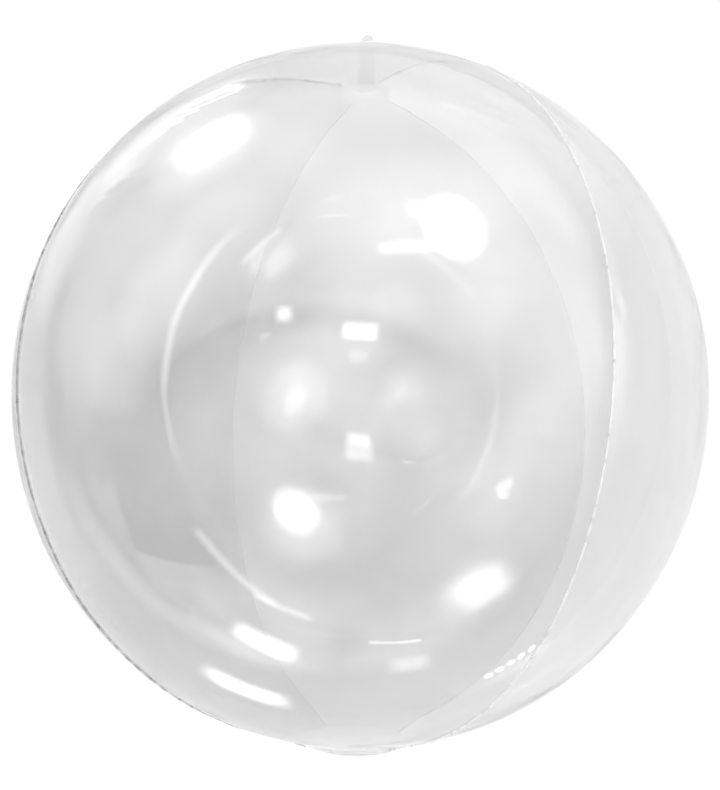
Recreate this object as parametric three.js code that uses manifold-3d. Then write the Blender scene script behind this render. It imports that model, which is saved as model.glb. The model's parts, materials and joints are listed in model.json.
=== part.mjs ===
// A clear bubble balloon: four welded gores of plastic film, blown up to a globe and sealed.
// Millimetres, +Z up. It lies loose on its back gore, which settles to a small flat there, and
// the origin is the middle of that flat. The globe's own axis lies along Y: the filling neck
// is at -Y and the hang tab at +Y. Gas fills the film, so each gore is solid in to the axis.
import * as THREE from "three";
import { mergeVertices } from "three/addons/utils/BufferGeometryUtils.js";
import Module from "manifold-3d";

// Driving dimensions
const WIDTH = 380; // across the globe at its equator
const POLE_STRETCH = 1.014; // the film draws out a little towards the two tips
const REST_RADIUS = 22; // the flat that the globe settles on
const GORES = ["front_panel", "right_panel", "back_panel", "left_panel"];
const GAP = 0.3; // clearance between neighbouring pieces
const WELD_HEIGHT = 1.6; // the doubled margin stands this far off the globe
const WELD_WIDTH = 1.2; // of which this much belongs to each gore
const NECK_RADIUS = 29.5; // where the globe begins to swell into the neck
const NECK_END_RADIUS = 7.5; // the sealed end of the neck
const NECK_RISE = 10.5; // how far the neck stands out past the globe
const TIP_RADIUS = 14; // where the four tips begin to gather under the hang tab
const TIP_RISE = 5;
const TAB_LENGTH = 36;
const TAB_WIDTH = 12;
const TAB_TIP_WIDTH = 8.5;
const TAB_THICKNESS = 1.2;

// How finely the curves are cut into flats
const STEPS_ACROSS = 16; // along the equator of one gore
const STEPS_ALONG = 34; // from tip to tip
const BELL_RINGS = 8; // from a bell's root to its flat end
const BELL_SIDES = 28;
const TAB_CURVE_STEPS = 7;

// Sizes that follow from those
const EQUATOR_RADIUS = WIDTH / 2;
const POLE_RADIUS = EQUATOR_RADIUS * POLE_STRETCH;
const HALF_GORE = Math.PI / GORES.length;
const CENTRE_HEIGHT = Math.sqrt(EQUATOR_RADIUS ** 2 - REST_RADIUS ** 2);
const GORE_OFFSET = GAP / 2 / Math.sin(HALF_GORE); // clears both seam planes by half a gap
const NECK_LATITUDE = Math.acos(NECK_RADIUS / EQUATOR_RADIUS);
const TIP_LATITUDE = Math.acos(TIP_RADIUS / EQUATOR_RADIUS);
const WELD_FADE = THREE.MathUtils.degToRad(6); // the margin runs out into each tip over this

const wasm = await Module();
wasm.setup();

function toSolid(geometry) {
  const bare = geometry.clone();
  bare.deleteAttribute("normal");
  bare.deleteAttribute("uv");
  const merged = mergeVertices(bare);
  const triVerts = new Uint32Array(merged.index.array);
  const vertProperties = new Float32Array(merged.attributes.position.array);
  return new wasm.Manifold(new wasm.Mesh({ numProp: 3, vertProperties, triVerts }));
}

function toGeometry(solid) {
  const mesh = solid.getMesh();
  const geometry = new THREE.BufferGeometry();
  geometry.setAttribute("position", new THREE.BufferAttribute(mesh.vertProperties, 3));
  geometry.setIndex(new THREE.BufferAttribute(mesh.triVerts, 1));
  geometry.computeVertexNormals();
  return geometry;
}

// How far the globe reaches from its centre along its axis, at a distance from that axis.
function poleReach(radius) {
  return POLE_RADIUS * Math.sqrt(1 - (radius / EQUATOR_RADIUS) ** 2);
}

// A point of the globe, or of a weld that stands proud of it. Turn is the angle round the
// axis from the gore's middle, which faces +Z, and the welds die away towards both tips.
function globePoint(latitude, turn, proud) {
  const toNeck = (latitude + NECK_LATITUDE) / WELD_FADE;
  const toTip = (TIP_LATITUDE - latitude) / WELD_FADE;
  const height = proud * THREE.MathUtils.clamp(Math.min(toNeck, toTip), 0, 1);
  const reach = (EQUATOR_RADIUS + height) * Math.cos(latitude);
  const along = (POLE_RADIUS + height) * Math.sin(latitude);
  return new THREE.Vector3(reach * Math.sin(turn), along, reach * Math.cos(turn));
}

// The stations across a gore: its weld margin, the plain film and the other weld margin.
function acrossStations() {
  const weldTurn = WELD_WIDTH / EQUATOR_RADIUS;
  const plain = HALF_GORE - 2 * weldTurn;
  const stations = [
    { turn: -HALF_GORE, proud: WELD_HEIGHT },
    { turn: weldTurn - HALF_GORE, proud: WELD_HEIGHT },
  ];
  for (let step = 0; step <= STEPS_ACROSS; step += 1) {
    stations.push({ turn: plain * ((2 * step) / STEPS_ACROSS - 1), proud: 0 });
  }
  stations.push({ turn: HALF_GORE - weldTurn, proud: WELD_HEIGHT });
  stations.push({ turn: HALF_GORE, proud: WELD_HEIGHT });
  return stations;
}

// One gore with its middle facing +Z: the film outside, a flat face down each seam to the
// globe's axis, and a small flat across each tip.
function goreGeometry() {
  const points = [];
  const faces = [];
  const keep = (point) => points.push(point) - 1;
  const stations = acrossStations();
  const columns = stations.map(({ turn, proud }) => {
    const column = [];
    for (let step = 0; step <= STEPS_ALONG; step += 1) {
      const latitude = THREE.MathUtils.lerp(-NECK_LATITUDE, TIP_LATITUDE, step / STEPS_ALONG);
      column.push(keep(globePoint(latitude, turn, proud)));
    }
    return column;
  });
  const centre = keep(new THREE.Vector3(0, 0, 0));
  const neckEnd = keep(new THREE.Vector3(0, -poleReach(NECK_RADIUS), 0));
  const tipEnd = keep(new THREE.Vector3(0, poleReach(TIP_RADIUS), 0));
  for (let side = 0; side + 1 < columns.length; side += 1) {
    const near = columns[side];
    const far = columns[side + 1];
    for (let step = 0; step < STEPS_ALONG; step += 1) {
      faces.push(near[step], far[step], far[step + 1]);
      faces.push(near[step], far[step + 1], near[step + 1]);
    }
    faces.push(neckEnd, far[0], near[0]);
    faces.push(tipEnd, near[STEPS_ALONG], far[STEPS_ALONG]);
  }
  const first = [neckEnd, ...columns[0], tipEnd];
  const last = [neckEnd, ...columns[columns.length - 1], tipEnd];
  for (let step = 0; step + 1 < first.length; step += 1) {
    faces.push(centre, first[step], first[step + 1]);
    faces.push(centre, last[step + 1], last[step]);
  }
  const geometry = new THREE.BufferGeometry().setFromPoints(points);
  geometry.setIndex(faces);
  geometry.computeVertexNormals();
  return geometry;
}

// The back gore is pressed flat where the globe rests, across the middle of the gore.
function settledGoreGeometry() {
  const block = new THREE.BoxGeometry(WIDTH, WIDTH, WIDTH);
  block.translate(0, 0, CENTRE_HEIGHT - GORE_OFFSET + WIDTH / 2);
  return toGeometry(toSolid(goreGeometry()).subtract(toSolid(block)));
}

// The end of the globe, past a distance from its axis, drawn out into a low bell with a flat
// end. It points along +Y and stands one gap clear of the gores.
function bellGeometry(rootRadius, endRadius, endRise) {
  const profile = [new THREE.Vector2(0, poleReach(rootRadius))];
  for (let ring = 0; ring <= BELL_RINGS; ring += 1) {
    const share = ring / BELL_RINGS;
    const radius = THREE.MathUtils.lerp(rootRadius, endRadius, share);
    const rise = endRise * (0.5 - 0.5 * Math.cos(Math.PI * share));
    profile.push(new THREE.Vector2(radius, poleReach(radius) + rise));
  }
  profile.push(new THREE.Vector2(0, poleReach(endRadius) + endRise));
  const geometry = new THREE.LatheGeometry(profile, BELL_SIDES);
  geometry.translate(0, GAP, 0);
  return geometry;
}

// The root of the filling neck, gathered to a flat, sealed end.
function neckGeometry() {
  const geometry = bellGeometry(NECK_RADIUS, NECK_END_RADIUS, NECK_RISE);
  geometry.rotateX(Math.PI);
  return geometry;
}

// The hang tab: the tips gather into two layers of film welded flat, which narrow a little
// towards a rounded end.
function tabGeometry() {
  const tipRadius = TAB_TIP_WIDTH / 2;
  const rootHeight = poleReach(TAB_WIDTH / 2) + TIP_RISE + GAP;
  const sunk = TIP_RISE / 2; // the tab starts inside the gathered tips
  const outline = new THREE.Shape();
  outline.moveTo(-TAB_WIDTH / 2, -sunk);
  outline.lineTo(TAB_WIDTH / 2, -sunk);
  outline.lineTo(tipRadius, TAB_LENGTH - tipRadius);
  outline.absarc(0, TAB_LENGTH - tipRadius, tipRadius, 0, Math.PI, false);
  outline.closePath();
  const strip = new THREE.ExtrudeGeometry(outline, {
    depth: TAB_THICKNESS,
    bevelEnabled: false,
    curveSegments: TAB_CURVE_STEPS,
  });
  strip.translate(0, rootHeight, -TAB_THICKNESS / 2);
  const tips = bellGeometry(TIP_RADIUS, TAB_WIDTH / 2, TIP_RISE);
  return toGeometry(toSolid(strip).add(toSolid(tips)));
}

function filmMaterial() {
  return new THREE.MeshStandardMaterial({
    color: 0xe6e8ea,
    roughness: 0.06,
    metalness: 0,
    transparent: true,
    opacity: 0.35,
  });
}

const balloon = new THREE.Group();

function addPiece(name, geometry) {
  const mesh = new THREE.Mesh(geometry, filmMaterial());
  mesh.name = name;
  mesh.position.z = CENTRE_HEIGHT;
  balloon.add(mesh);
  return mesh;
}

GORES.forEach((name, place) => {
  const turn = 2 * HALF_GORE * place;
  const geometry = name === "back_panel" ? settledGoreGeometry() : goreGeometry();
  const gore = addPiece(name, geometry);
  gore.rotation.y = turn;
  gore.position.x += GORE_OFFSET * Math.sin(turn);
  gore.position.z += GORE_OFFSET * Math.cos(turn);
});
addPiece("filling_neck", neckGeometry());
addPiece("hang_tab", tabGeometry());

export default balloon;
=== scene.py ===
# %% [markdown]
# # A clear bubble balloon
#
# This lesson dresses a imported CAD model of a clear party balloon: a globe of glossy plastic
# film, welded from four gores, with a gathered filling neck at one end and a small hang tab at
# the other. The balloon lies loose on a pale floor and the camera looks down on it. The CAD
# solids are closed wedges, and here every one of them is replaced by real, thin film.

# %% Load the frame
import json
import math

import bmesh
import bpy
import numpy as np
from mathutils import Matrix, Vector, noise


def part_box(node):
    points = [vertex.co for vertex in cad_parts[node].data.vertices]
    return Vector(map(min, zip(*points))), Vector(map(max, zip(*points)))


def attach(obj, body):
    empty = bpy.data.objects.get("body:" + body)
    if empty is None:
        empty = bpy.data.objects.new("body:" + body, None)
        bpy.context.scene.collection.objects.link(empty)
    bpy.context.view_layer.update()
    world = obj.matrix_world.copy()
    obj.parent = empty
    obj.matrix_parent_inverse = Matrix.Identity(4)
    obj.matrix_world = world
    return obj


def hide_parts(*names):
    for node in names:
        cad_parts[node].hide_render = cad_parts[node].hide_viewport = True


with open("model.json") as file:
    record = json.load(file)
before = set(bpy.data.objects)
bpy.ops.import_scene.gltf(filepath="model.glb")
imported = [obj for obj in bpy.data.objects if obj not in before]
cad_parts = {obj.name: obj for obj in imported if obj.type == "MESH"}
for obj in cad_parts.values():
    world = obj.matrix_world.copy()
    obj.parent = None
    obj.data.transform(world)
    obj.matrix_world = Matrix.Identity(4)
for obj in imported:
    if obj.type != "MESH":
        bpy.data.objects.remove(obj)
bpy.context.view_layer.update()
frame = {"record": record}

# %% [markdown]
# ## Sizes
#
# A balloon like this is sold by its width when blown up, and the rest follows. Sizes could be
# typed in, but the frame already holds them, and then the film always fits the solids. The
# mount at the end of the neck gives the height of the globe's axis, which lies along Y. The box
# of the right gore gives the equator, rounded to a millimetre because the solids stand a little
# apart. What the boxes can't give is named here, in metres.

# %% Sizes of the balloon
mounts = {mount["name"]: mount["pos_m"] for mount in frame["record"]["mounts"]}
axis_height = mounts["neck_end"][2]
centre = Vector((0, 0, axis_height))
equator_radius = round(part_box("right_panel")[1][0], 3)
pole_stretch = 1.014
pole_radius = equator_radius * pole_stretch
neck_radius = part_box("filling_neck")[1][0]
tip_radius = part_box("hang_tab")[1][0]
tab_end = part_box("hang_tab")[1][1]
film = 0.00015
print("equator", equator_radius, "poles", round(pole_radius, 4), "axis at", round(axis_height, 4))

# %% [markdown]
# ## The camera
#
# The balloon lies on its side, so a view of its front is a view from above. A camera could be
# turned by three angles, but a view this steep is easier to aim with three unit vectors: right,
# up and back. It stands two and a half globe radii from the middle of the balloon, turned a
# little towards the right gore and tilted a little towards the neck.

# %% Camera
camera_turn = math.radians(13.2)
camera_tilt = math.radians(8.66)
camera_roll = math.radians(1.1)
camera_radii = 2.5
camera_lens = 36.74
camera_distance = camera_radii * (equator_radius + pole_radius) / 2

camera_back = Vector((
    math.sin(camera_turn) * math.cos(camera_tilt),
    -math.sin(camera_tilt),
    math.cos(camera_turn) * math.cos(camera_tilt),
))
tipwards = Vector((0, 1, 0))
level_up = (tipwards - camera_back * tipwards.dot(camera_back)).normalized()
level_right = level_up.cross(camera_back)
camera_up = level_up * math.cos(camera_roll) - level_right * math.sin(camera_roll)
camera_right = camera_up.cross(camera_back)
camera_place = centre + camera_back * camera_distance

camera_data = bpy.data.cameras.new("camera")
camera_data.lens = camera_lens
camera = bpy.data.objects.new("camera", camera_data)
bpy.context.collection.objects.link(camera)
turned = Matrix((camera_right, camera_up, camera_back)).transposed().to_4x4()
camera.matrix_world = Matrix.Translation(camera_place) @ turned
bpy.context.scene.camera = camera
bpy.context.scene.view_settings.view_transform = "Standard"
print("camera at", [round(v, 3) for v in camera_place])

# %% [markdown]
# ## Helpers for modelling by hand
#
# An operator acts on everything that is selected, so each piece starts from nothing selected.
# In edit mode, faces and edges could be clicked one by one. Here a test on their place picks
# them, which still works when the mesh is cut finer or coarser.

# %% Select and edit
def object_mode():
    """Back to object mode, where modifiers are applied."""
    bpy.ops.object.mode_set(mode="OBJECT")


def nothing_selected():
    """Leave edit mode and deselect every object."""
    if bpy.context.mode != "OBJECT":
        object_mode()
    bpy.ops.object.select_all(action="DESELECT")


def only(piece):
    """Select one object and make it the active one."""
    nothing_selected()
    piece.select_set(True)
    bpy.context.view_layer.objects.active = piece


def edit(piece):
    """Open one object in edit mode with nothing selected in it."""
    only(piece)
    bpy.ops.object.mode_set(mode="EDIT")
    bpy.ops.mesh.select_all(action="DESELECT")


print("mode", bpy.context.mode)

# %% Pick faces or edges
def pick(piece, kind, test):
    """Select the faces or the edges that pass a test, and say how many they are."""
    bpy.ops.mesh.select_mode(type=kind)
    shape = bmesh.from_edit_mesh(piece.data)
    parts = shape.faces if kind == "FACE" else shape.edges
    for part in parts:
        part.select = test(part)
    shape.select_flush_mode()
    bmesh.update_edit_mesh(piece.data)
    print("picked", kind, sum(part.select for part in parts))

# %% [markdown]
# ## Clear film
#
# The film is a thin clear plastic with a faint grey cast. It could be a mix of transparent and
# glossy shaders, but a Principled shader with full transmission does it in one: sharp gloss,
# and more of it where the film is seen edge on, as on real plastic. The grey varies a little,
# as film does where it is drawn thinner, and faint smears take the edge off its gloss.

# %% Shader helpers
def new_material(name):
    """A node material and its shader."""
    material = bpy.data.materials.new(name)
    material.use_nodes = True
    return material, material.node_tree.nodes["Principled BSDF"]


def object_noise(tree, scale, detail):
    """Noise that is fixed to the piece by its own coordinates."""
    place = tree.nodes.new("ShaderNodeTexCoord")
    cloud = tree.nodes.new("ShaderNodeTexNoise")
    cloud.inputs["Scale"].default_value = scale
    cloud.inputs["Detail"].default_value = detail
    tree.links.new(place.outputs["Object"], cloud.inputs["Vector"])
    return cloud.outputs["Fac"]


def grey_ramp(tree, source, low, high, dark, light):
    """Turn a noise into a run between two greys."""
    ramp = tree.nodes.new("ShaderNodeValToRGB")
    ramp.color_ramp.interpolation = "EASE"
    for end, position, grey in zip(ramp.color_ramp.elements, (low, high), (dark, light)):
        end.position = position
        end.color = (grey, grey, grey, 1)
    tree.links.new(source, ramp.inputs["Fac"])
    return ramp.outputs["Color"]


def fine_bump(tree, shader, source, strength, distance):
    """Let a noise tilt the gloss a little."""
    bump = tree.nodes.new("ShaderNodeBump")
    bump.inputs["Strength"].default_value = strength
    bump.inputs["Distance"].default_value = distance
    tree.links.new(source, bump.inputs["Height"])
    tree.links.new(bump.outputs["Normal"], shader.inputs["Normal"])

# %% [markdown]
# The gores are cut from one roll. Their greys are painted light and shade: the right gore is
# painted lightest here, and the left one darkest.

# %% Film finishes
def clear_film(name, dark, light, bending=1.5):
    """Thin clear plastic, blown tight. Bending is its index of refraction."""
    material, shader = new_material(name)
    tree = material.node_tree
    shader.inputs["Transmission Weight"].default_value = 1.0
    shader.inputs["IOR"].default_value = bending
    clouds = object_noise(tree, scale=9.0, detail=3.0)
    tint = grey_ramp(tree, clouds, low=0.35, high=0.65, dark=dark, light=light)
    tree.links.new(tint, shader.inputs["Base Color"])
    smears = object_noise(tree, scale=40.0, detail=4.0)
    sheen = grey_ramp(tree, smears, low=0.3, high=0.75, dark=0.01, light=0.04)
    tree.links.new(sheen, shader.inputs["Roughness"])
    fine_bump(tree, shader, clouds, strength=0.25, distance=0.002)
    return material


film_finish = clear_film("clear_film", dark=0.75, light=0.81)
# The right gore's lighter grey is painted light, and the left gore's darker grey is painted shade.
right_gore_painted_light = clear_film("clear_film_painted_light", dark=0.83, light=0.89)
left_gore_painted_shade = clear_film("clear_film_painted_shade", dark=0.68, light=0.74)
print("films", film_finish.name, right_gore_painted_light.name, left_gore_painted_shade.name)

# %% [markdown]
# In a weld, two layers are pressed and melted together. The press leaves a fine print that
# scatters light, so a weld is a little milky and mirrors little, and its index of refraction is
# set low. The seam between the front and left gores is welded clearer, and its grey is painted
# darker: a painted shade for the thin dark line that this seam shows seen edge on.

# %% Weld finishes
def welded_film(name, clearness, dark, light):
    """Two layers of film, pressed and melted together."""
    material, shader = new_material(name)
    tree = material.node_tree
    shader.inputs["Transmission Weight"].default_value = clearness
    shader.inputs["IOR"].default_value = 1.1
    press = object_noise(tree, scale=260.0, detail=2.0)
    tint = grey_ramp(tree, press, low=0.3, high=0.7, dark=dark, light=light)
    tree.links.new(tint, shader.inputs["Base Color"])
    sheen = grey_ramp(tree, press, low=0.3, high=0.7, dark=0.25, light=0.5)
    tree.links.new(sheen, shader.inputs["Roughness"])
    fine_bump(tree, shader, press, strength=0.4, distance=0.0004)
    return material


weld_finish = welded_film("welded_margin", clearness=0.3, dark=0.8, light=0.92)
# The clear weld's darker greys are painted shade, for the dark line its seam shows edge on.
clear_weld_painted_shade = welded_film("welded_margin_clear_painted_shade", clearness=0.85, dark=0.62, light=0.88)
print("welds", weld_finish.name, clear_weld_painted_shade.name)

# %% [markdown]
# ## One gore of the globe
#
# Each gore is a curved sheet that runs from the neck to the tip. It could be lofted from
# curves, but a sphere is already the right surface: a sphere is added with its poles along Y,
# drawn out a little towards them, and everything outside one quarter is deleted. The gore is
# modelled once, facing up, and copied. It ends on whole rings of the sphere at the neck and at
# the tip, where the end pieces take over.

# %% Where a gore ends
steps_across = 64
steps_along = 400
gore_count = 4
half_gore = math.pi / gore_count
ring_step = math.pi / steps_along


def last_latitude(radius):
    """The latitude of the last ring that stays outside a distance from the axis."""
    return math.floor(math.acos(radius / equator_radius) / ring_step) * ring_step


def turn_of(place):
    """How far round the axis a place is from the middle of the front gore."""
    return math.atan2(place.x, place.z)


def latitude_of(place):
    """How far a place is from the equator towards the tip, as an angle."""
    return math.atan2(place.y / pole_radius, math.hypot(place.x, place.z) / equator_radius)


neck_latitude = last_latitude(neck_radius)
tip_latitude = last_latitude(tip_radius)
neck_ring = equator_radius * math.cos(neck_latitude)
tip_ring = equator_radius * math.cos(tip_latitude)
print("neck ring", round(neck_ring, 4), "tip ring", round(tip_ring, 4))

# %% Cut one gore from a sphere
nothing_selected()
bpy.ops.mesh.primitive_uv_sphere_add(
    segments=steps_across * gore_count, ring_count=steps_along, radius=equator_radius,
    rotation=(math.pi / 2, 0, 0),
)
gore_pattern = bpy.context.object
gore_pattern.name = "gore_pattern"
bpy.ops.object.transform_apply(location=True, rotation=True, scale=True)
edit(gore_pattern)
bpy.ops.mesh.select_all(action="SELECT")
bpy.ops.transform.resize(value=(1, pole_radius / equator_radius, 1))


def outside_gore(face):
    """True past either seam, and past the neck and the tip."""
    place = face.calc_center_median()
    latitude = latitude_of(place)
    return (
        abs(turn_of(place)) > half_gore
        or latitude < -neck_latitude
        or latitude > tip_latitude
    )


pick(gore_pattern, "FACE", outside_gore)
bpy.ops.mesh.delete(type="FACE")
print("gore faces", len(bmesh.from_edit_mesh(gore_pattern.data).faces))

# %% [markdown]
# ## The weld margins
#
# Along a seam the edges of two gores are turned outwards and welded face to face, so a narrow
# doubled margin stands off the globe. It could be a ribbon of its own, but on the balloon it is
# the edge of the film itself. So the gore's two long open edges are extruded and scaled
# outwards from the middle of the globe, and each gore carries its own layer of the margin.

# %% Pull out the weld margins
weld_height = 0.0007
margin_steps = 2
margin_growth = weld_height / margin_steps / equator_radius
edge_tolerance = 1e-4
margin_slot = 1


def on_seam(edge):
    """True for the open edges along the gore's two long sides."""
    return edge.is_boundary and all(
        abs(abs(turn_of(corner.co)) - half_gore) < edge_tolerance for corner in edge.verts
    )


def in_margin(face):
    """True on the weld margin, which stands past the globe."""
    place = face.calc_center_median()
    reach = Vector((place.x / equator_radius, place.y / pole_radius, place.z / equator_radius))
    return reach.length > 1 + margin_growth / 5


gore_pattern.data.materials.append(film_finish)
gore_pattern.data.materials.append(weld_finish)
for _ in range(margin_steps):
    pick(gore_pattern, "EDGE", on_seam)
    bpy.ops.mesh.extrude_edges_move()
    grow = 1 + margin_growth
    bpy.ops.transform.resize(value=(grow, grow, grow), center_override=(0, 0, 0))
pick(gore_pattern, "FACE", in_margin)
gore_pattern.active_material_index = margin_slot
bpy.ops.object.material_slot_assign()
object_mode()
print("with margins", len(gore_pattern.data.polygons))

# %% [markdown]
# ## Corners as an array
#
# The next steps move every corner of the film by a formula. Textures and Displace modifiers
# could do it, but the puckers follow the seams, and a formula can follow them too. The corners
# are read into one array, moved and put back. The columns of corners are first crowded towards
# the seams, where the fine relief needs them.

# %% Read, move and put back
def corners_of(piece):
    """The corners of a mesh as one array."""
    places = np.empty(len(piece.data.vertices) * 3)
    piece.data.vertices.foreach_get("co", places)
    return places.reshape(-1, 3)


def place_corners(piece, places):
    """Put an array of corners back into its mesh."""
    piece.data.vertices.foreach_set("co", np.ascontiguousarray(places).ravel())
    piece.data.update()


def move_corners(piece, move):
    """Move every corner of a mesh by a formula."""
    place_corners(piece, [move(Vector(place)) for place in corners_of(piece)])


print("corners in the pattern", len(corners_of(gore_pattern)))

# %% Crowd the corners to the seams
seam_crowding = 0.6


def clamped(value):
    """A value held between nothing and one."""
    return min(1.0, max(0.0, value))


def crowd_to_seams(place):
    """Move a corner towards its nearer seam, and leave the seams where they are."""
    turn = turn_of(place)
    share = turn / half_gore
    if abs(share) >= 1 - edge_tolerance:
        return place
    moved = (share + seam_crowding * math.sin(math.pi * share) / math.pi) * half_gore
    return Matrix.Rotation(moved - turn, 3, "Y") @ place


middle_step = crowd_to_seams(Vector((math.sin(half_gore / 2), 0, math.cos(half_gore / 2))))
print("halfway to the seam goes to", round(turn_of(middle_step) / half_gore, 2))

# %% [markdown]
# ## The drawn-out neck end
#
# Where the globe closes at the filling neck, its film is drawn out into a low swelling. The
# swelling begins on the gores and ends on the neck, so one formula gives its reach along the
# axis for both, and they meet without a step.

# %% Reach along the axis
neck_flare = 0.052
neck_rise = 0.0072
neck_end_radius = 0.0075


def pole_reach(radius):
    """How far the plain globe reaches along its axis at a distance from the axis."""
    return pole_radius * math.sqrt(max(0.0, 1 - (radius / equator_radius) ** 2))


def end_reach(radius, flare, end_radius, rise):
    """The same reach, with the film drawn out between a flare and the end."""
    drawn = clamped((flare - radius) / (flare - end_radius))
    return pole_reach(radius) + rise * (0.5 - 0.5 * math.cos(math.pi * drawn))


neck_reach = end_reach(neck_end_radius, neck_flare, neck_end_radius, neck_rise)
print("the neck reaches", round(neck_reach, 4), "from the centre")

# %% [markdown]
# ## How the film really lies
#
# Film can't stretch at a weld as it does in the middle of a gore, so it tucks in slightly
# beside each seam and puckers in short waves that fade away from it, with finer pleats close to
# the weld. The puckers are strongest where the globe closes up, at the neck and the tip. Part
# of the way to the neck this globe is blown tightest, and from there on the tuck nearly goes.
# The whole skin also waves a little. Cloth simulation could find such relief, but on film this
# tight it is under a millimetre, and noise along the seam gives it at once.

# %% Tuck and pucker sizes
tuck_depth = 0.0006
tuck_width = 0.010
tight_from = math.radians(-24)
tight_to = math.radians(-38)
tight_share = 0.85
pucker_depth = 0.0005
pucker_width = 0.012
pucker_length = 0.009
pucker_from = math.radians(48)
pucker_run = math.radians(30)
stray_pucker = 0.04
stray_rate = 2.2
pleat_depth = 0.00018
pleat_width = 0.004
pleat_length = 0.0032


def tuck_at(latitude):
    """How deep the film tucks in at a seam: less where the globe is blown tight."""
    tight = clamped((latitude - tight_from) / (tight_to - tight_from))
    return tuck_depth * (1 - tight_share * tight ** 2 * (3 - 2 * tight))


def seam_noise(along, seam, layer):
    """A value that wanders between -1 and 1 along a seam, in its own way on each layer."""
    return noise.noise(Vector((along, seam, layer)))


def pucker_strength(latitude, seam):
    """Puckers gather towards the two ends, and faintly in a few stretches between."""
    ends = clamped((abs(latitude) - pucker_from) / pucker_run)
    stray = seam_noise(latitude * stray_rate, seam * 3, layer=4.0)
    return ends ** 2 + stray_pucker * max(0.0, stray)


print("tuck at the equator", tuck_at(0.0), "and by the neck", round(tuck_at(tight_to), 6))

# %% Relief beside a seam
def seam_rise(latitude, beside, seam):
    """How far the film stands off the plain globe at a distance beside a seam."""
    along = equator_radius * latitude
    strength = pucker_strength(latitude, seam)
    wobble = seam_noise(along / pucker_length, seam, layer=0.5)
    crimp = seam_noise(along / pleat_length, seam, layer=7.5)
    rise = strength * wobble * pucker_depth * math.exp(-beside / pucker_width)
    rise += strength * crimp * pleat_depth * math.exp(-beside / pleat_width)
    return rise - tuck_at(latitude) * math.exp(-beside / tuck_width)


print("right at a seam the film sits", round(seam_rise(0.0, 0.0, 45), 5), "off the globe")

# %% Blow the film up
wave_depth = 0.0004
wave_length = 0.085
end_fade = 0.012


def blown(place):
    """Where a corner of a gore lies when the film is blown up, relative to the centre."""
    latitude = latitude_of(place)
    turn = turn_of(place)
    seam_turn = (math.floor(turn / (2 * half_gore)) + 0.5) * 2 * half_gore
    seam = round(math.degrees(seam_turn)) % 360
    beside = equator_radius * math.cos(latitude) * abs(turn - seam_turn)
    rise = seam_rise(latitude, beside, seam)
    rise += wave_depth * noise.noise(place / wave_length)
    radius = math.hypot(place.x, place.z)
    end_ring = neck_ring if place.y < 0 else tip_ring
    rise *= clamped((radius - end_ring) / end_fade)
    if place.y < 0 and radius < neck_flare:
        drawn = end_reach(radius, neck_flare, neck_end_radius, neck_rise)
        place.y -= drawn - pole_reach(radius)
    return place + place.normalized() * rise


front = blown(Vector((0, 0, equator_radius)))
print("the middle of the front gore rises by", round(front.z - equator_radius, 5))

# %% [markdown]
# ## Creases
#
# Where the film was folded in its packet, and where it pulls at the tip, a few sharp creases
# stay. They could be cut into the mesh as edges, but a crease in film is a soft ridge. So each
# one is a path over the globe, given by turn and latitude in degrees, with a height and a
# width, and the film rises or sinks along it in a narrow ridge that runs out at both ends.

# %% Paths of the creases
creases = [
    # Two that meet on the upper right
    ([(28.1, 46.0), (27.8, 40.0), (28.2, 35.5)], 0.00030, 0.0014),
    ([(28.2, 35.5), (32.0, 33.5), (38.3, 33.5)], 0.00035, 0.0014),
    # Folds across the upper left
    ([(-5.1, 39.2), (-7.8, 34.7), (-13.8, 32.7), (-18.5, 28.9)], 0.00055, 0.0012),
    ([(-3.0, 41.5), (-8.0, 37.0), (-15.5, 34.0), (-21.5, 29.0)], -0.00050, 0.0014),
    ([(-20.7, 22.9), (-22.4, 21.5), (-24.9, 20.2), (-30.0, 15.0)], 0.00045, 0.0012),
    ([(-20.7, 18.3), (-23.0, 12.0), (-23.9, 5.5)], 0.00016, 0.0020),
    # Pulls towards the right seam
    ([(27.0, 31.5), (34.0, 29.0), (43.0, 24.5)], 0.00024, 0.0018),
    ([(29.0, 29.0), (36.0, 27.4), (43.5, 23.0)], -0.00022, 0.0018),
    ([(31.0, 33.0), (37.0, 31.0), (43.8, 27.5)], 0.00020, 0.0018),
    # Short nicks just past the right seam
    ([(45.8, 38.5), (49.6, 32.3)], -0.00040, 0.0018),
    ([(48.5, 40.0), (53.5, 33.0)], 0.00030, 0.0018),
    ([(46.2, 21.0), (47.2, 15.0)], -0.00035, 0.0014),
    ([(46.0, 6.0), (46.6, 2.5)], -0.00030, 0.0012),
    # Small packet marks right of the middle
    ([(33.0, -12.0), (36.5, -12.4)], 0.00025, 0.0012),
    ([(24.5, -11.5), (27.5, -11.8)], 0.00022, 0.0012),
    ([(30.0, -19.5), (32.5, -19.8)], 0.00025, 0.0010),
    # Pulls round the tip
    ([(60.0, 88.2), (110.0, 84.0), (136.0, 79.5)], 0.00025, 0.0014),
    ([(-60.0, 86.0), (-75.0, 80.0), (-82.0, 72.0)], 0.00020, 0.0016),
    ([(-40.0, 84.0), (-48.0, 76.0)], -0.00020, 0.0016),
]
print("creases", len(creases))

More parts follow.
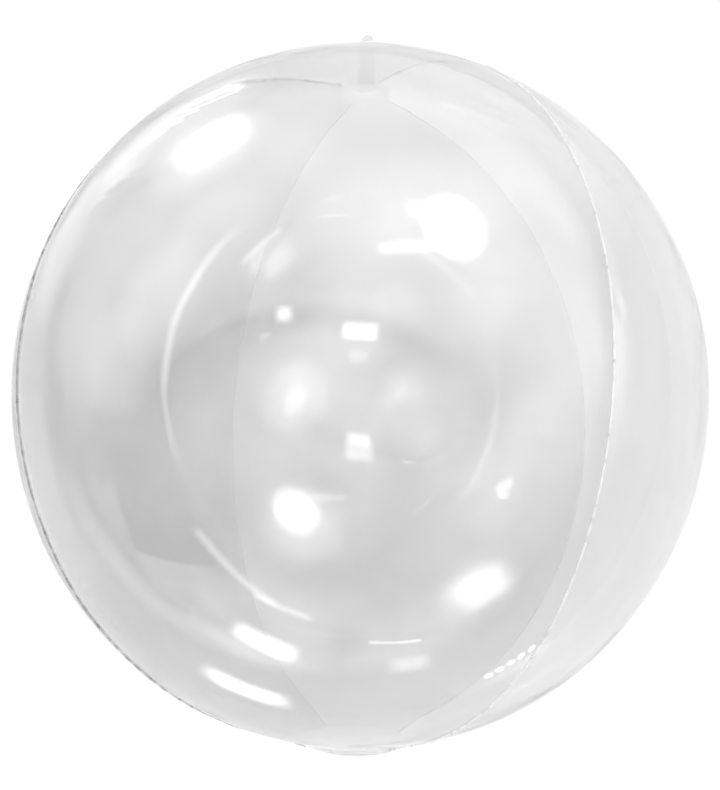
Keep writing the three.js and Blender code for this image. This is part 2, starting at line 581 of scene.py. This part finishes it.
# %% Fold the film
def crease_rise(turns, latitudes, path, height, width):
    """The ridge of one crease at many corners, given by turn and latitude in radians."""
    path = np.radians(path)
    first_turn = path[0, 0]
    middle = path[:, 1].mean()
    across = (turns - first_turn) * np.cos(latitudes) * equator_radius
    upward = (latitudes - middle) * equator_radius
    nearest = np.full(len(turns), 1.0)
    share = np.zeros(len(turns))
    for step, ends in enumerate(zip(path, path[1:])):
        scale = np.array([np.cos((ends[0][1] + ends[1][1]) / 2) * equator_radius, equator_radius])
        a, b = ((end - (first_turn, middle)) * scale for end in ends)
        run = b - a
        reach = ((across - a[0]) * run[0] + (upward - a[1]) * run[1]) / (run @ run)
        reach = np.clip(reach, 0, 1)
        away = np.hypot(across - a[0] - reach * run[0], upward - a[1] - reach * run[1])
        closer = away < nearest
        nearest[closer] = away[closer]
        share[closer] = (step + reach[closer]) / (len(path) - 1)
    fade = np.sin(np.pi * np.clip(share, 0, 1)) ** 0.5
    return height * fade * np.exp(-nearest / width)


def fold(piece):
    """Press every crease into one gore, relative to the centre."""
    places = corners_of(piece)
    level = np.hypot(places[:, 0], places[:, 2])
    turns = np.arctan2(places[:, 0], places[:, 2])
    latitudes = np.arctan2(places[:, 1] / pole_radius, level / equator_radius)
    rise = sum(crease_rise(turns, latitudes, *crease) for crease in creases)
    away = places / np.linalg.norm(places, axis=1, keepdims=True)
    place_corners(piece, places + away * rise[:, None])


ridge = crease_rise(*np.radians(creases[0][0]).T, *creases[0])
print("height along the first crease", ridge.round(5))

# %% [markdown]
# ## The settled flat
#
# A tight globe settles to a small flat where it lies. Cutting the film off at the floor would
# leave a sharp rim, so its corners are eased up to just above the floor instead: far above
# nothing changes, and near the floor the film bends softly into the flat.

# %% Settle on the floor
floor_clearance = 0.0001
settle_softness = 0.00025
settle_reach = 12 * settle_softness


def settle(piece):
    """Press the film smoothly flat where it would sink into what it lies on."""
    places = corners_of(piece)
    above = places[:, 2] - floor_clearance
    eased = settle_softness * np.logaddexp(0, above / settle_softness)
    near = above < settle_reach
    places[near, 2] = floor_clearance + eased[near]
    place_corners(piece, places)
    print("corners in or near the flat", int(near.sum()))


print("the film bends below", round(settle_reach, 4))

# %% [markdown]
# ## Wall thickness
#
# So far the gores are skins. A Solidify modifier gives them their second face, a film's
# thickness inside, and is applied. On the rings where the gores meet the neck and the tab the
# wall runs out thin, by a vertex group, so no blunt rim of film catches the light there.

# %% Thicken a skin
rim_share = 0.05
smooth_angle = math.radians(40)


def thicken(piece, thickness, thin_rim):
    """Give a skin its second face inside, and let it run out thin where a test says so."""
    full = piece.vertex_groups.new(name="full_thickness")
    rim = [corner.index for corner in piece.data.vertices if thin_rim(corner.co)]
    full.add(list(range(len(piece.data.vertices))), 1.0, "REPLACE")
    full.add(rim, 0.0, "REPLACE")
    only(piece)
    wall = piece.modifiers.new("wall", "SOLIDIFY")
    wall.thickness = thickness
    wall.offset = -1.0
    wall.vertex_group = full.name
    wall.thickness_vertex_group = rim_share
    bpy.ops.object.modifier_apply(modifier=wall.name)
    piece.vertex_groups.clear()
    print(piece.name, "rim corners", len(rim))


def smooth(piece):
    """Shade a piece smooth, except over its sharp edges."""
    only(piece)
    bpy.ops.object.shade_smooth_by_angle(angle=smooth_angle)


print("wall", film, "thinning at a rim to", round(film * rim_share, 7))

# %% [markdown]
# ## The four gores
#
# The pattern is copied four times, each copy with its own mesh, turned to its place round the
# axis, blown up, creased and thickened. They could be one skin with a ridge at each seam, but
# the real ones are four sheets. Each is moved outwards by a film's thickness and a hair more,
# so the two layers of a weld lie face to face and never cross.

# %% Which finish goes where
seam_gap = 0.00003
outward = (film + seam_gap / 2) / math.sin(half_gore)
gore_names = {"front_panel": 0, "right_panel": 1, "back_panel": 2, "left_panel": 3}
# The right gore gets the painted-light grey, and the left gore the painted-shade grey.
gore_painted_tones = {"right_panel": right_gore_painted_light, "left_panel": left_gore_painted_shade}
# The seam between the front and left gores gets the clear weld with its painted shade.
clear_shaded_weld_reach = 0.05
clear_shaded_margin_slot = 2


def on_clear_shaded_weld(place):
    """True near the seam between the front gore and the left one, welded clear with painted shade.
    """
    return abs(turn_of(place - centre) + half_gore) < clear_shaded_weld_reach


def at_end_ring(place):
    """True on the rings where the gores meet the neck and the tab."""
    radius = math.hypot(place.x, place.z - axis_height)
    end_ring = neck_ring if place.y < 0 else tip_ring
    return radius < end_ring + 2 * outward


def finish_gore(gore, node):
    """Give a gore its film, painted lighter or darker on two, and the clear seam's margin its
    painted-shade weld.
    """
    gore.data.materials[0] = gore_painted_tones.get(node, film_finish)
    gore.data.materials.append(clear_weld_painted_shade)
    for face in gore.data.polygons:
        if face.material_index == margin_slot and on_clear_shaded_weld(face.center):
            face.material_index = clear_shaded_margin_slot


print("gores stand", round(outward, 5), "out from the axis")

# %% Make the four gores
def make_gore(node, place_in_turn):
    """Copy the pattern, turn it round the axis, shape it and give the film its thickness."""
    gore = gore_pattern.copy()
    gore.data = gore_pattern.data.copy()
    gore.name = node.replace("panel", "gore")
    gore.data.name = gore.name
    bpy.context.collection.objects.link(gore)
    angle = 2 * half_gore * place_in_turn
    move_corners(gore, crowd_to_seams)
    gore.data.transform(Matrix.Rotation(angle, 4, "Y"))
    move_corners(gore, blown)
    fold(gore)
    away = Vector((math.sin(angle), 0, math.cos(angle))) * outward
    gore.data.transform(Matrix.Translation(centre + away))
    if node == "back_panel":
        settle(gore)
    finish_gore(gore, node)
    thicken(gore, film, at_end_ring)
    smooth(gore)
    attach(gore, "root")
    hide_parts(node)
    return gore


gores = [make_gore(node, step) for node, step in gore_names.items()]
bpy.data.objects.remove(gore_pattern)
print("gores", [(gore.name, len(gore.data.polygons)) for gore in gores])

# %% [markdown]
# ## Gathered ends
#
# At both ends of the balloon the four gores gather into a small piece of film. Each could be
# lathed from an outline, but extruding an open ring of edges step by step, as a glassblower
# draws a neck, keeps it open for whatever follows. Fine pleats then deepen towards the end,
# where most film is gathered: a ripple round the axis, with a second, quicker one that keeps
# them from looking regular.

# %% Draw out a ring of edges
def next_ring(reach, across=1.0, through=1.0, forward=0.0):
    """Extrude the open ring, scale it about the axis at a reach and move it on along Y."""
    bpy.ops.mesh.extrude_edges_move()
    bpy.ops.transform.resize(value=(across, 1, through), center_override=(0, reach, 0))
    bpy.ops.transform.translate(value=(0, forward, 0))


def gathered_end(name, root_radius, end_radius, flare, rise, rings, sides):
    """A skin that carries the globe's end on into a low bell, pointing along +Y."""
    nothing_selected()
    root_reach = end_reach(root_radius, flare, end_radius, rise)
    bpy.ops.mesh.primitive_circle_add(
        vertices=sides, radius=root_radius, location=(0, root_reach, 0),
        rotation=(-math.pi / 2, 0, 0),
    )
    piece = bpy.context.object
    piece.name = name
    bpy.ops.object.transform_apply(location=True, rotation=True, scale=True)
    edit(piece)
    bpy.ops.mesh.select_all(action="SELECT")
    radius, reach = root_radius, root_reach
    for step in range(1, rings + 1):
        next_radius = root_radius + (end_radius - root_radius) * (step / rings)
        next_reach = end_reach(next_radius, flare, end_radius, rise)
        narrower = next_radius / radius
        next_ring(reach, across=narrower, through=narrower, forward=next_reach - reach)
        radius, reach = next_radius, next_reach
    print(name, "gathers over", round(reach - root_reach, 4))
    return piece

# %% Pleat an end and fit it to the gores
second_ripple = 0.5
second_rate = 2.3
second_start = 1.0


def pleat(piece, count, depth, root_radius, end_radius):
    """Ripple the gathered film round its axis, more towards its end."""
    places = corners_of(piece)
    radius = np.hypot(places[:, 0], places[:, 2])
    angle = np.arctan2(places[:, 0], places[:, 2])
    gathered = np.clip((root_radius - radius) / (root_radius - end_radius), 0, 1)
    ripple = np.sin(count * angle)
    ripple += second_ripple * np.sin(second_rate * count * angle + second_start)
    middle = np.clip(radius / end_radius, 0, 1)
    places[:, 1] += depth * ripple * gathered ** 2 * middle
    place_corners(piece, places)


def meet_gores(piece, end_ring):
    """Widen an end piece a little, because the gores were moved apart at their seams."""
    wider = 1 + outward / end_ring
    piece.data.transform(Matrix.Diagonal((wider, 1, wider, 1)))


def is_root(place, end_ring):
    """True on the ring where an end piece meets the gores."""
    return math.hypot(place.x, place.z - axis_height) > end_ring + outward / 2


def face_outwards(piece):
    """Turn every face of a skin outwards."""
    edit(piece)
    bpy.ops.mesh.select_all(action="SELECT")
    bpy.ops.mesh.normals_make_consistent(inside=False)
    object_mode()


print("the end pieces are widened by", round(outward, 5))

# %% [markdown]
# ## The filling neck
#
# Past the last ring of the globe the film gathers into the filling neck, which is welded shut
# once the balloon is full. A cone could stand for it, but it starts level with the globe and
# only then swells out, so it follows the same formula as the gores. Its end is closed with a
# face that is inset a few times, to carry the pleats on, and poked into triangles.

# %% Neck
neck_rings = 18
neck_sides = 96
neck_pleats = 12
neck_pleat_depth = 0.00035
cap_insets = 3
cap_inset = 0.0012

neck = gathered_end("neck_film", neck_ring, neck_end_radius, neck_flare, neck_rise,
                    neck_rings, neck_sides)
bpy.ops.mesh.edge_face_add()
for _ in range(cap_insets):
    bpy.ops.mesh.inset(thickness=cap_inset)
bpy.ops.mesh.poke()
object_mode()
pleat(neck, neck_pleats, neck_pleat_depth, neck_ring, neck_end_radius)
meet_gores(neck, neck_ring)
neck.data.transform(Matrix.Rotation(math.pi, 4, "X"))
neck.data.transform(Matrix.Translation(centre))
face_outwards(neck)
thicken(neck, film, lambda place: is_root(place, neck_ring))
smooth(neck)
neck_finish = clear_film("neck_film", dark=0.76, light=0.82)
neck.data.materials.append(neck_finish)
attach(neck, "root")
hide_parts("filling_neck")
print("neck", len(neck.data.polygons))

# %% [markdown]
# ## The hang tab
#
# At the other end the four tips gather in the same way, close to a slit and run out into a
# small tab of doubled film, which a thread or a hook can hold. A flat strip set on the tips
# would show a joint, so the strip is drawn on from the same ring of edges: the ring is pressed
# flat where it is, extruded into the strip, which narrows a little, and rounded off at the end.

# %% Draw the tab
tab_width = 0.012
tab_tip_width = 0.0085
tab_thickness = 0.0004
tab_clearance = 0.0022
tip_rise = 0.0008
tab_rings = 10
tab_sides = 64
closing_steps = 4
strip_steps = 12
round_steps = 8

tab = gathered_end("tab_film", tip_ring, tab_width / 2, tip_ring, tip_rise,
                   tab_rings, tab_sides)
tab_root = pole_reach(tab_width / 2) + tip_rise
thinning = (1 - tab_thickness / tab_width) / closing_steps
for step in range(closing_steps):
    thinner = (1 - thinning * (step + 1)) / (1 - thinning * step)
    next_ring(tab_root, through=thinner)
strip_end = tab_end - tab_clearance - tab_tip_width / 2
narrower = (tab_tip_width / tab_width) ** (1 / strip_steps)
for _ in range(strip_steps):
    next_ring(tab_root, across=narrower, forward=(strip_end - tab_root) / strip_steps)
quarter = [math.pi / 2 * step / round_steps for step in range(round_steps)]
for last, angle in zip(quarter, quarter[1:]):
    forward = (math.sin(angle) - math.sin(last)) * tab_tip_width / 2
    next_ring(strip_end, across=math.cos(angle) / math.cos(last), forward=forward)
bpy.ops.mesh.edge_face_add()
object_mode()
print("tab from", round(tab_root, 4), "to", round(strip_end + tab_tip_width / 2, 4))

# %% [markdown]
# The strip is two layers that cling together, nearly as clear as one. Its last few millimetres
# are sealed, and look a little greyer. The gathered tips keep the film of the globe.

# %% Finish the tab
tab_pleats = 10
tab_pleat_depth = 0.0002
sealed_length = 0.005
strip_slot = 1
sealed_slot = 2

pleat(tab, tab_pleats, tab_pleat_depth, tip_ring, tab_width / 2)
meet_gores(tab, tip_ring)
tab.data.transform(Matrix.Translation(centre))
face_outwards(tab)
thicken(tab, film / 2, lambda place: is_root(place, tip_ring))
smooth(tab)
tab_finish = clear_film("tab_film", dark=0.9, light=0.94, bending=1.25)
sealed_finish = clear_film("tab_film_sealed", dark=0.8, light=0.87, bending=1.3)
for finish in (film_finish, tab_finish, sealed_finish):
    tab.data.materials.append(finish)
for face in tab.data.polygons:
    if face.center.y > tab_end - tab_clearance - sealed_length:
        face.material_index = sealed_slot
    elif face.center.y > tab_root:
        face.material_index = strip_slot
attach(tab, "root")
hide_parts("hang_tab")
print("tab", len(tab.data.polygons))

# %% [markdown]
# ## Floor
#
# The balloon lies on a pale, plain floor, and a large soft lamp over it evens the floor out to
# white. A white backdrop alone would do for the view from above, but from the side the balloon
# has to lie on something. The film lets nearly all light through, so it casts no shadow here.

# %% Floor
floor_radius = 0.66
floor_sides = 128
floor_grey = 0.92
floor_roughness = 0.9

nothing_selected()
bpy.ops.mesh.primitive_circle_add(vertices=floor_sides, radius=floor_radius, fill_type="NGON")
floor = bpy.context.object
floor.name = "floor"
floor_finish, floor_shader = new_material("floor")
floor_shader.inputs["Base Color"].default_value = (floor_grey, floor_grey, floor_grey, 1)
floor_shader.inputs["Roughness"].default_value = floor_roughness
floor_shader.inputs["Specular IOR Level"].default_value = 0.0
floor.data.materials.append(floor_finish)
for piece in (*gores, neck, tab):
    piece.visible_shadow = False
print("floor", floor_radius * 2, "across")

# %% Key lamp
key_place = (0.1, 0.2, 3.0)
key_size = 3.0
key_power = 118.0

key = bpy.data.lights.new("key_lamp", "AREA")
key.size = key_size
key.energy = key_power
key_lamp = bpy.data.objects.new("key_lamp", key)
key_lamp.location = key_place
key_lamp.visible_camera = False
key_lamp.visible_glossy = False
key_lamp.visible_transmission = False
bpy.context.collection.objects.link(key_lamp)
print("key lamp", key_power, "watts at", key_place)

# %% [markdown]
# ## Studio room
#
# Most of what shows of a clear globe is the room that it mirrors: its near wall shows the room
# upright and small, and its far wall shows it again, upside down. The room could be modelled,
# with walls, windows and lamps, but only its light matters here. So it is painted on the world
# as soft shapes of light, each worked out from the direction that is looked at.

# %% World
world = bpy.data.worlds.new("studio")
bpy.context.scene.world = world
world.use_nodes = True
world.cycles.sampling_method = "NONE"
room = world.node_tree
look = room.nodes.new("ShaderNodeTexCoord").outputs["Generated"]
print("world", world.name)

# %% Sums in the room's nodes
def feed(socket, value):
    """Give a socket a plain number, or link it to another node."""
    if isinstance(value, (int, float)):
        socket.default_value = value
    else:
        room.links.new(value, socket)


def combine(operation, first, second):
    """One sum of two numbers, such as ADD, MULTIPLY or MAXIMUM."""
    node = room.nodes.new("ShaderNodeMath")
    node.operation = operation
    feed(node.inputs[0], first)
    feed(node.inputs[1], second)
    return node.outputs["Value"]


def mix(share, first, second):
    """A number that goes from the first to the second as the share goes from 0 to 1."""
    node = room.nodes.new("ShaderNodeMix")
    feed(node.inputs["Factor"], share)
    feed(node.inputs["A"], first)
    feed(node.inputs["B"], second)
    return node.outputs["Result"]


def along(way):
    """How much the looked-at direction goes along a way: the cosine of the angle between."""
    node = room.nodes.new("ShaderNodeVectorMath")
    node.operation = "DOT_PRODUCT"
    room.links.new(look, node.inputs[0])
    node.inputs[1].default_value = way
    return node.outputs["Value"]

# %% Soft edges
def sine(degrees):
    """The sine of an angle in degrees."""
    return math.sin(math.radians(degrees))


def soft_step(source, start, end, brightness=1.0):
    """Rise smoothly from nothing at the start to full brightness at the end."""
    node = room.nodes.new("ShaderNodeMapRange")
    node.interpolation_type = "SMOOTHSTEP"
    node.inputs["From Min"].default_value = start
    node.inputs["From Max"].default_value = end
    node.inputs["To Max"].default_value = brightness
    room.links.new(source, node.inputs["Value"])
    return node.outputs["Result"]


def soft_stripe(source, outer, inner, brightness=1.0):
    """Full brightness where the source is near zero, and nothing past the outer value."""
    return soft_step(combine("ABSOLUTE", source, 0), outer, inner, brightness)


def this_side(way, brightness=1.0):
    """Nothing on the far side of the room, where a stripe would show a second time."""
    return soft_step(along(way), 0.0, 0.2, brightness)


print("an edge of 5 degrees is", round(sine(5), 3), "wide")

# %% [markdown]
# ## Shapes of light
#
# Five shapes make the whole room: a round glow, a window, an oval lamp, a band round the room
# and a panel, which is lit below a sharp line, as a bright wall is behind dark furniture. All
# their sizes are angles in degrees, as they would be seen from the balloon.

# %% Round glow and band
def way_to(azimuth, elevation):
    """A direction from the balloon. Azimuth 0 is +Y and 90 is +X, in degrees."""
    a, e = math.radians(azimuth), math.radians(elevation)
    return Vector((math.sin(a) * math.cos(e), math.cos(a) * math.cos(e), math.sin(e)))


def glow(azimuth, elevation, spread, edge, brightness):
    """A round patch of light with a soft edge."""
    outer = math.cos(math.radians(spread + edge))
    inner = math.cos(math.radians(max(spread - edge, 0)))
    return soft_step(along(way_to(azimuth, elevation)), outer, inner, brightness)


def band(azimuth, elevation, radius, width, brightness):
    """A soft band of light round one direction."""
    toward = along(way_to(azimuth, elevation))
    offset = combine("SUBTRACT", toward, math.cos(math.radians(radius)))
    half = math.radians(width) * sine(radius)
    return soft_stripe(offset, half, 0, brightness)


print("way to the hang tab", tuple(way_to(0, 0)))

# %% Window, oval and panel
def window(way, across, width, height, edge, brightness):
    """A soft-edged rectangle of light, wide along the given across."""
    across = (across - way * across.dot(way)).normalized()
    shape = this_side(way, brightness)
    for side, length in ((across, width), (way.cross(across), height)):
        outer = sine(length / 2 + edge)
        inner = sine(max(length / 2 - edge, 0))
        shape = combine("MULTIPLY", shape, soft_stripe(along(side), outer, inner))
    return shape


def oval(way, across, width, height, edge, brightness):
    """A soft-edged oval of light, wide along the given across."""
    across = (across - way * across.dot(way)).normalized()
    squares = []
    for side, length in ((across, width), (way.cross(across), height)):
        share = along(side / sine(length / 2))
        squares.append(combine("MULTIPLY", share, share))
    from_middle = combine("ADD", *squares)
    wider = edge / min(width, height)
    disc = soft_step(from_middle, (1 + wider) ** 2, (1 - wider) ** 2, brightness)
    return combine("MULTIPLY", disc, this_side(way))


def panel(start, end, depth, edge, run_out, brightness):
    """Light below a sharp line between two directions that fades downwards and at its ends."""
    first, last = way_to(*start), way_to(*end)
    across = (last - first).normalized()
    down = (first + last).cross(across).normalized()
    if down.z > 0:
        down = -down
    drop = along(down)
    shape = soft_step(drop, 0.0, sine(edge), brightness)
    shape = combine("MULTIPLY", shape, soft_step(drop, sine(depth), sine(depth / 3)))
    half = math.sin(first.angle(last) / 2)
    fade = sine(run_out)
    ends = soft_stripe(along(across), half + fade, half - fade)
    return combine("MULTIPLY", shape, ends)


print("shapes", [shape.__name__ for shape in (glow, band, window, oval, panel)])

# %% [markdown]
# ## Walls of the room
#
# The studio has a bright half, past the hang tab and to the right, and a dark half behind the
# neck, with patches of soft light on both and a faint light everywhere, which keeps the darkest
# corner from black. The numbers of a glow are its azimuth, elevation, spread, edge and
# brightness.

# %% Soft light on the walls
faint_everywhere = (0, 90, 179, 1, 0.05)
glows = {
    "bright half": [
        (42, 10, 85, 35, 1.4),
        (38, 44, 23, 15, 1.9),
        (85, 24, 20, 16, 1.4),
        (110, 55, 8, 9, 1.3),
    ],
    "left wall": [
        (335, 45, 26, 16, 0.4),
        (292, 20, 15, 16, 1.0),
        (300, 10, 30, 20, 0.6),
        (327, 9, 5, 11, 1.1),
        (294, 37, 8, 10, 0.9),
        (276, 26, 7, 9, 0.6),
        (338, 22, 12, 12, 0.7),
    ],
    "dark half": [
        (183, 13, 8, 9, 0.7),
        (188, 45, 5, 9, 1.6),
        (200, 10, 8, 12, 1.2),
        (165, 0, 8, 10, 1.0),
        (147, 5, 5, 9, 1.2),
        (125, 26, 6, 8, 0.7),
    ],
    "ceiling": [
        (215, 80, 5, 8, 1.8),
        (40, 75, 6, 9, 1.0),
        (0, 90, 14, 10, 0.4),
        (130, 75, 16, 12, 0.8),
    ],
    "low past the tab": [
        (0, 12, 24, 16, 0.2),
        (60, 12, 24, 16, 0.8),
    ],
    "corners": [
        (320, 43, 8, 13, 0.75),
        (121, 42, 5, 9, 0.8),
    ],
}
light = glow(*faint_everywhere)
for patches in glows.values():
    for numbers in patches:
        light = combine("ADD", light, glow(*numbers))
print("glows", {name: len(patches) for name, patches in glows.items()})

# %% [markdown]
# A band is given by its azimuth, elevation, radius, width and brightness, and shows only inside
# a glow. A negative brightness takes light away, as a dark beam or curtain would. Low behind
# the neck, a lit wall shows under the slanting dark edges of two panels.

# %% Bands and panels
bands = {
    "bright arc": ((110, 72, 62.9, 2.4, 2.6), (286, 46, 18, 18, 1.0)),
    "dark arc overhead": ((180, 50, 54.0, 6.0, -1.2), (340, 72, 36, 24, 1.0)),
    "dark arc on the left": ((180, 50, 51.0, 9.0, -0.9), (280, 57, 12, 16, 1.0)),
}
low_band = ((0, 90, 94.0, 11.0, 1.3), (210, -3, 40, 20, 1.0))
panel_depth = 22
panel_edge = 1.2
panel_run_out = 5
panels = [
    ((232.0, 7.0), (248.0, 16.3), 0.5),
    ((217.0, 22.0), (236.0, 7.2), 0.9),
]
for numbers, patch in bands.values():
    light = combine("ADD", light, combine("MULTIPLY", band(*numbers), glow(*patch)))
low_wall = combine("MULTIPLY", band(*low_band[0]), glow(*low_band[1]))
for start, end, brightness in panels:
    lit = panel(start, end, panel_depth, panel_edge, panel_run_out, brightness)
    low_wall = combine("MAXIMUM", low_wall, lit)
light = combine("ADD", light, low_wall)
print("bands", len(bands), "panels", len(panels))

# %% [markdown]
# Past the edge of the floor the room goes on as if the floor did, so no rim of it is mirrored.
# Three wide glows brighten it near the horizon, past the tab and to the left.

# %% Ground
floor_glow = 1.0
ground_fade = 14
ground_glows = [
    (15, 0, 32, 18, 0.45),
    (302, -17, 12, 7, 0.5),
    (323, -13, 12, 7, 0.7),
]
below = soft_step(along(way_to(0, -90)), 0.0, sine(ground_fade))
light = mix(below, light, floor_glow)
for numbers in ground_glows:
    light = combine("ADD", light, glow(*numbers))
print("ground glows", len(ground_glows))

# %% [markdown]
# ## Where a window hangs
#
# Each window makes a sharp glint on the near wall of the globe. It could be moved about until
# its glint looks right, but the mirror law does it at once: the line of sight from the camera
# to the chosen place is mirrored there, and the window hangs along the mirrored line. The far
# wall then shows the window's second glint by itself, upside down.

# %% Place by the mirror law
def on_globe(turn, latitude):
    """A place on the globe and the way its surface faces there, from angles in degrees."""
    t, l = math.radians(turn), math.radians(latitude)
    way = Vector((math.cos(l) * math.sin(t), math.sin(l), math.cos(l) * math.cos(t)))
    stretch = Vector((equator_radius, pole_radius, equator_radius))
    place = Vector([w * s for w, s in zip(way, stretch)])
    facing = Vector([w / s for w, s in zip(way, stretch)]).normalized()
    return centre + place, facing


def mirror(way, facing):
    """A direction after the surface mirrors it."""
    return way - 2 * way.dot(facing) * facing


def lamp_at(turn, latitude, tilt, shape, *sizes):
    """Hang a lamp whose glint falls at a place, tilted in degrees from level as it's seen."""
    place, facing = on_globe(turn, latitude)
    sight = (place - camera_place).normalized()
    lean = math.radians(tilt)
    level = camera_right * math.cos(lean) + camera_up * math.sin(lean)
    return shape(mirror(sight, facing), mirror(level, facing), *sizes)


straight_up = Vector((0, 0, 1))
print("a glance straight down comes back as", tuple(mirror(-straight_up, straight_up)))

# %% [markdown]
# The windows and oval lamps are named by where their glints fall as the camera sees them. Their
# numbers are the turn and latitude of the glint, the tilt, width, height, edge and brightness.

# %% Windows and oval lamps
windows = {
    "upper left": (-8.0, 24.1, 34, 11, 11, 4.5, 7),
    "bar beside the round lamp": (17.9, 8.0, 4, 14, 2.2, 1.9, 4),
    "above the middle": (13.2, -1.8, -4, 10, 4.5, 1.5, 8),
    "small square": (4.9, 0.1, 0, 3.5, 3.5, 1.5, 7),
    "small, on the right": (30.5, -17.6, 24, 5.4, 2.8, 1.2, 3.2),
    "low left": (-0.8, -39.0, -28, 13, 6, 2.5, 7),
    "lowest left": (-8.7, -48.8, -18, 13, 5, 3.2, 5),
    "below the middle": (13.6, -14.6, -4, 7.5, 5, 1.5, 3.2),
    "strip by the upper left rim": (-15.5, 32.8, 30, 14, 4.5, 3, 2.4),
    "lower right": (30.6, -30.4, 32, 12, 11, 3, 3),
    "thin line below": (19.0, -38.4, -3, 12, 1, 0.7, 3),
    "thin line, left": (1.6, 8.5, 42, 13, 1.2, 1.0, 1.5),
    "long curve, lower left": (-3.0, -29.0, -44, 26, 1.6, 1.5, 2.2),
    "end of the long curve": (3.0, -33.6, -24, 14, 1.4, 1.2, 2.2),
    "block under the thin line": (22.2, -42.2, 2, 8, 5, 2, 1.7),
}
ovals = {
    "round lamp": (23.6, 10.8, 15, 16.5, 19, 4.5, 7),
    "haze round it": (18.2, 10.4, -4, 20, 12, 8, 0.6),
    "haze left of the middle": (6.4, -9.1, 60, 8, 5.5, 3, 1.5),
}
for shape, lamps in ((window, windows), (oval, ovals)):
    for turn, latitude, tilt, *sizes in lamps.values():
        light = combine("ADD", light, lamp_at(turn, latitude, tilt, shape, *sizes))
print("windows", len(windows), "ovals", len(ovals))

# %% [markdown]
# Low on the right hangs a string of five small lamps, evenly spaced, so a loop places them. The
# negative lights could add up to less than nothing somewhere, so at last the sum is held at
# nothing or more.

# %% String of small lamps
dot_count = 5
dot_start = (37.8, -45.0)
dot_end = (44.0, -40.3)
dot_tilt = 32
dot_width = 1.4
dot_height = 1.8
dot_edge = 0.9
dot_brightness = 4
for dot in range(dot_count):
    share = dot / (dot_count - 1)
    turn = dot_start[0] + (dot_end[0] - dot_start[0]) * share
    latitude = dot_start[1] + (dot_end[1] - dot_start[1]) * share
    lamp = lamp_at(turn, latitude, dot_tilt, oval, dot_width, dot_height, dot_edge, dot_brightness)
    light = combine("ADD", light, lamp)
light = combine("MAXIMUM", light, 0.0)
print("small lamps", dot_count)

# %% [markdown]
# ## Backdrop
#
# Painted on the world, the studio would also show behind the balloon. So only light that was
# mirrored at least once sees it, and all other light sees a plain pale backdrop. Light that has
# left the floor finds only a faint grey, so that the lamp overhead does most of the work.

# %% Choose between backdrop and studio
backdrop = 0.97
floor_fill = 0.2
path = room.nodes.new("ShaderNodeLightPath")


def choose(bounces, otherwise, chosen):
    """One value after at least one bounce of a kind, and the other before it."""
    return mix(soft_step(bounces, 0.4, 0.6), otherwise, chosen)


seen = choose(path.outputs["Glossy Depth"], backdrop, light)
seen = choose(path.outputs["Diffuse Depth"], seen, floor_fill)
room.links.new(seen, room.nodes["Background"].inputs["Color"])
print("nodes in the room", len(room.nodes))
